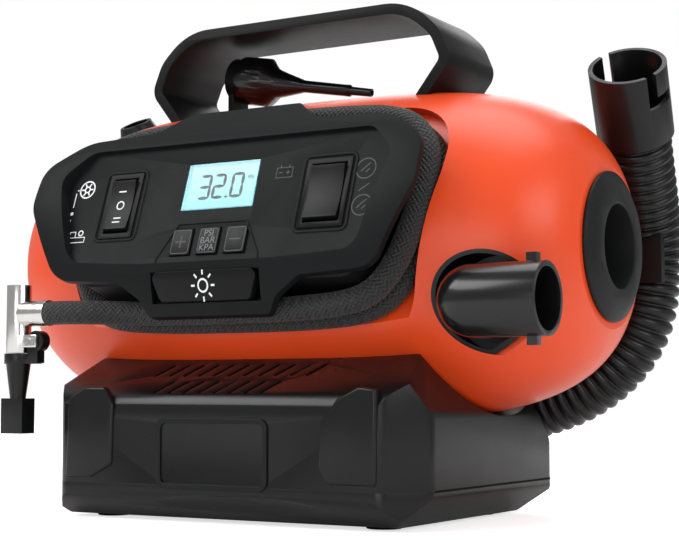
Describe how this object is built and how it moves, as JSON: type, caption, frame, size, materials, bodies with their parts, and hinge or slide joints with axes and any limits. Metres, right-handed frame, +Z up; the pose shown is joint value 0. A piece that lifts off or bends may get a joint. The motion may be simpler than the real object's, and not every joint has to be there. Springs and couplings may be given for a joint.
{
  "type": "portable tire inflator",
  "caption": "Barrel-shaped portable tire inflator with a carry handle, a front control panel wound by its air hose, a base, and a ribbed blower hose held round the back.",
  "frame": {"origin": "on the ground, under the middle of the barrel", "axes": "+X right along the barrel, -Y the front with the control panel, +Z up"},
  "size_m": [0.344, 0.2165, 0.248],
  "materials": {
    "orange_shell": "glossy metallic orange",
    "black_plastic": "satin black",
    "grey_plastic": "satin dark grey",
    "elbow_black": "glossy black",
    "key_black": "satin black",
    "hose_rubber": "semi-matt black rubber",
    "duct_plastic": "ribbed flexible black",
    "display_glass": "clear over a pale green display",
    "display_body": "pale display glass",
    "vent_glow": "translucent red",
    "bright_metal": "bright plated",
    "lever_plastic": "satin black",
    "adapter_white": "glossy dark grey",
    "pin_steel": "plain steel",
    "cast_metal": "cast",
    "gear_plastic": "natural nylon",
    "board": "green board"
  },
  "bodies": {
    "inflator": {"front_shell": "orange_shell", "rear_shell": "orange_shell", "base_housing": "black_plastic", "handle": "black_plastic", "control_panel": "black_plastic", "hose_hub": "black_plastic", "hose_clips": "black_plastic", "hose_rest": "black_plastic", "outlet_cup": "black_plastic", "power_inlet": "black_plastic", "mode_rocker_frame": "black_plastic", "source_rocker_frame": "black_plastic", "base_tray": "grey_plastic", "port_ring": "grey_plastic", "end_grille": "grey_plastic", "badge_frame": "grey_plastic", "adapter_post": "grey_plastic", "blower_mount": "grey_plastic", "outlet_elbow": "elbow_black", "blow_nozzle": "elbow_black", "bayonet_cuff": "elbow_black", "air_hose": "hose_rubber", "hose_gland": "hose_rubber", "chuck_seal": "hose_rubber", "rubber_feet": "hose_rubber", "blow_hose": "duct_plastic", "lcd_lens": "display_glass", "lcd_module": "display_body", "vent_backing": "vent_glow", "chuck_body": "bright_metal", "hose_ferrule": "bright_metal", "chuck_pin": "bright_metal", "inlet_pins": "bright_metal", "handle_screws": "bright_metal", "mode_rocker_pin": "pin_steel", "source_rocker_pin": "pin_steel", "gearbox_plate": "pin_steel", "compressor_motor": "pin_steel", "blower_motor": "pin_steel", "compressor_cylinder": "cast_metal", "cylinder_head": "cast_metal", "circuit_board": "board", "pressure_sensor": "board"},
    "mode_rocker_body": {"mode_rocker": "key_black"},
    "source_rocker_body": {"source_rocker": "key_black"},
    "plus_key": {"plus_button": "key_black"},
    "units_key": {"units_button": "key_black"},
    "minus_key": {"minus_button": "key_black"},
    "light_key": {"light_button": "key_black"},
    "lever": {"chuck_lever": "lever_plastic"},
    "adapter": {"cone_adapter": "adapter_white"},
    "crank": {"crank_gear": "gear_plastic"},
    "pinion": {"drive_pinion": "gear_plastic"},
    "piston": {"wobble_piston": "cast_metal"},
    "impeller": {"blower_impeller": "gear_plastic"}
  },
  "joints": [
    {"name": "mode_rocker_tilt", "type": "hinge", "parent": "inflator", "child": "mode_rocker_body", "pos_m": [-0.0565, -0.08406, 0.14739], "axis": [1, 0, 0], "range_deg": [-10, 10]},
    {"name": "source_rocker_tilt", "type": "hinge", "parent": "inflator", "child": "source_rocker_body", "pos_m": [0.0586, -0.08432, 0.14664], "axis": [1, 0, 0], "range_deg": [-10, 10]},
    {"name": "plus_press", "type": "slide", "parent": "inflator", "child": "plus_key", "axis": [0, 0.9466, -0.3223], "range_m": [0, 0.0008], "stiffness_N_per_m": 900},
    {"name": "units_press", "type": "slide", "parent": "inflator", "child": "units_key", "axis": [0, 0.9466, -0.3223], "range_m": [0, 0.0008], "stiffness_N_per_m": 900},
    {"name": "minus_press", "type": "slide", "parent": "inflator", "child": "minus_key", "axis": [0, 0.9466, -0.3223], "range_m": [0, 0.0008], "stiffness_N_per_m": 900},
    {"name": "light_press", "type": "slide", "parent": "inflator", "child": "light_key", "axis": [0, 0.9466, -0.3223], "range_m": [0, 0.0008], "stiffness_N_per_m": 900},
    {"name": "lever_swing", "type": "hinge", "parent": "inflator", "child": "lever", "pos_m": [-0.0962, -0.1023, 0.0846], "axis": [0, -1, 0], "range_deg": [0, 90]},
    {"name": "adapter_pull", "type": "slide", "parent": "inflator", "child": "adapter", "axis": [0.9836, 0, -0.1805], "range_m": [0, 0.012]},
    {"name": "crank_spin", "type": "hinge", "parent": "inflator", "child": "crank", "pos_m": [-0.014, 0.018, 0.092], "axis": [1, 0, 0], "continuous": true},
    {"name": "pinion_spin", "type": "hinge", "parent": "inflator", "child": "pinion", "pos_m": [-0.014, -0.012, 0.092], "axis": [1, 0, 0], "continuous": true},
    {"name": "rod_turn", "type": "hinge", "parent": "crank", "child": "piston", "pos_m": [-0.006, 0.018, 0.095], "axis": [1, 0, 0], "continuous": true},
    {"name": "impeller_spin", "type": "hinge", "parent": "inflator", "child": "impeller", "pos_m": [0.118, 0, 0.1266], "axis": [1, 0, 0], "continuous": true}
  ],
  "couplings": [
    {"joint": "pinion_spin", "follows": "crank_spin", "ratio": -4},
    {"joint": "rod_turn", "follows": "crank_spin", "ratio": -1}
  ]
}
